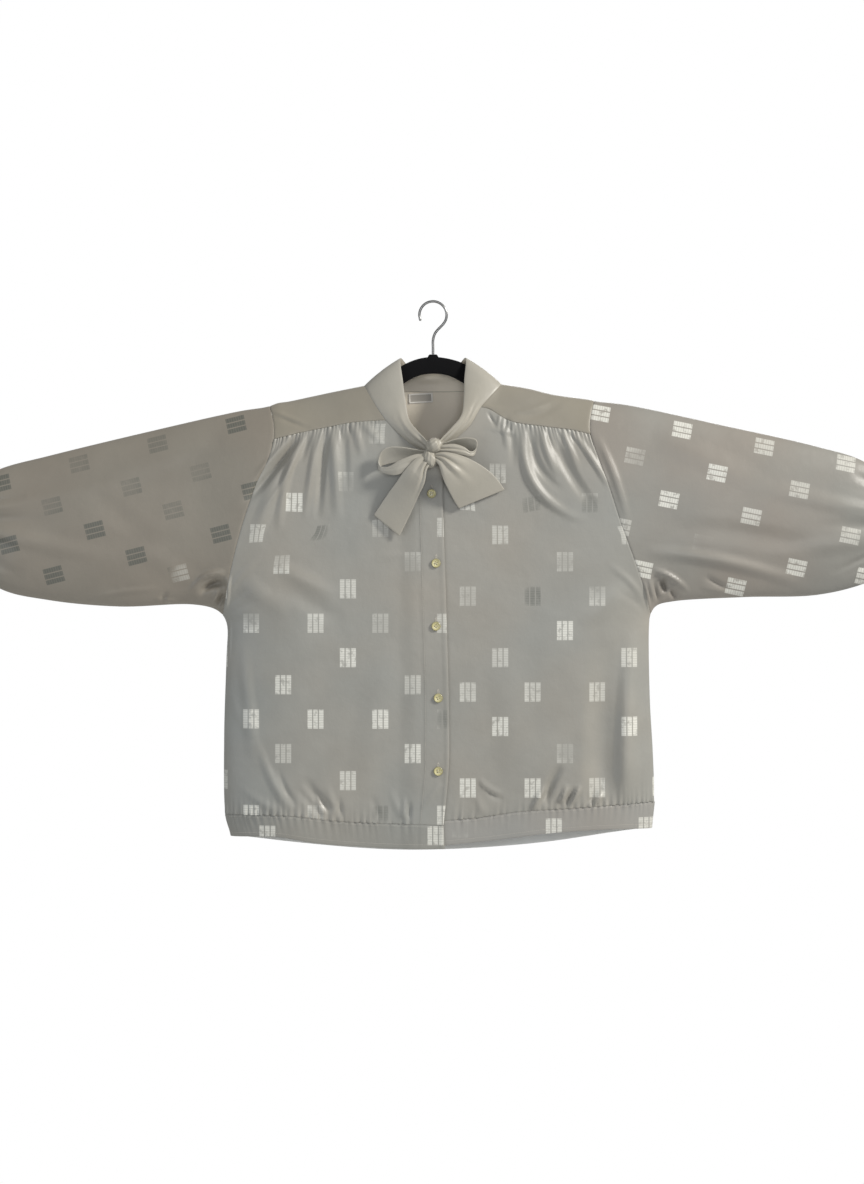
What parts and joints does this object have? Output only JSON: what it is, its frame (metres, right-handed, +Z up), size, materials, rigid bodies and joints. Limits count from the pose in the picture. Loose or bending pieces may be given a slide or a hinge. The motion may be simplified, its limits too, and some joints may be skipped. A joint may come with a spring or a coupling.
{
  "type": "tie neck blouse on a hanger",
  "caption": "Long-sleeved satin blouse with a bow at the neck, gathered yoke, buttoned front and hem band, spread on a flat black clothes hanger.",
  "frame": {"origin": "the inside top of the hanger's hook, where a rail or peg holds it", "axes": "+Z up, +X from the viewer's left cuff to the viewer's right cuff, the buttoned front faces -Y"},
  "size_m": [1.4032, 0.096, 0.7613],
  "materials": {
    "jacquard_satin": "grey satin with a woven motif of three shiny bars",
    "band_satin": "the same grey satin in the hem bands and cuffs",
    "tie_satin": "the same grey satin, nearly plain, in the collar and the tie",
    "pearl_button": "pale cream pearl, glossy",
    "label_cloth": "white woven label, blank",
    "black_velvet": "black flocked velvet",
    "hook_steel": "polished steel wire"
  },
  "bodies": {
    "root": {"front_right": "jacquard_satin", "front_left": "jacquard_satin", "back": "jacquard_satin", "yoke": "jacquard_satin", "sleeve_left": "jacquard_satin", "sleeve_right": "jacquard_satin", "hem_band_front_right": "band_satin", "hem_band_front_left": "band_satin", "hem_band_back": "band_satin", "cuff_left": "band_satin", "cuff_right": "band_satin", "collar": "tie_satin", "tie_knot": "tie_satin", "tie_loop_left": "tie_satin", "tie_loop_right": "tie_satin", "tie_tail_left": "tie_satin", "tie_tail_right": "tie_satin", "button_1": "pearl_button", "button_2": "pearl_button", "button_3": "pearl_button", "button_4": "pearl_button", "button_5": "pearl_button", "cuff_button_left": "pearl_button", "cuff_button_right": "pearl_button", "neck_label": "label_cloth", "hanger": "black_velvet", "hook": "hook_steel"}
  },
  "joints": []
}
